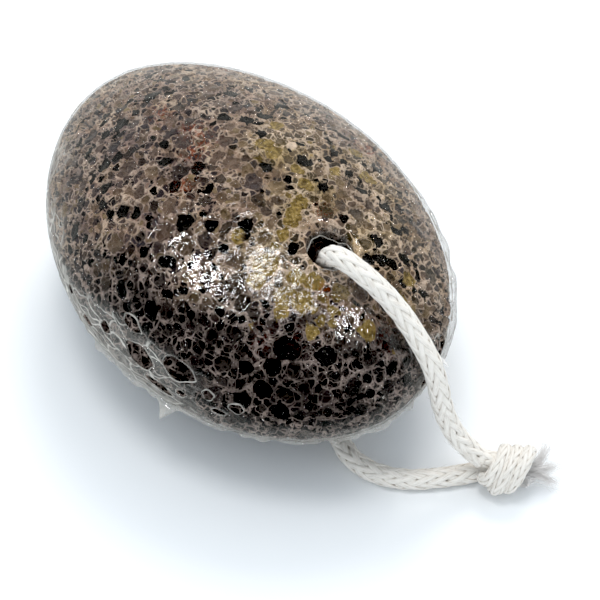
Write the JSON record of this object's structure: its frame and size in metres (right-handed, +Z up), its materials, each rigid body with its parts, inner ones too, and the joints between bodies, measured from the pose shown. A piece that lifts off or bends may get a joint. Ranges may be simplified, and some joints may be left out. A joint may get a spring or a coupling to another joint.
{
  "type": "pumice stone on a cord",
  "caption": "Egg-shaped foot pumice of foamed lava with a drilled hole, wrapped in clear shrink film, on a knotted braided cotton cord.",
  "frame": {"origin": "middle of the wrapped stone's footprint, on the surface that it rests on", "axes": "+X along the stone's long axis towards the end with the cord hole, +Z up through the stone's thickness"},
  "size_m": [0.1174, 0.069, 0.0492],
  "materials": {
    "pumice": "matte, open-pored foamed lava",
    "film": "clear glossy polyolefin shrink film",
    "cotton": "matte braided cotton"
  },
  "bodies": {
    "root": {"pumice_stone": "pumice", "shrink_film": "film", "cord": "cotton", "cord_knot": "cotton", "cord_frayed_ends": "cotton"}
  },
  "joints": []
}
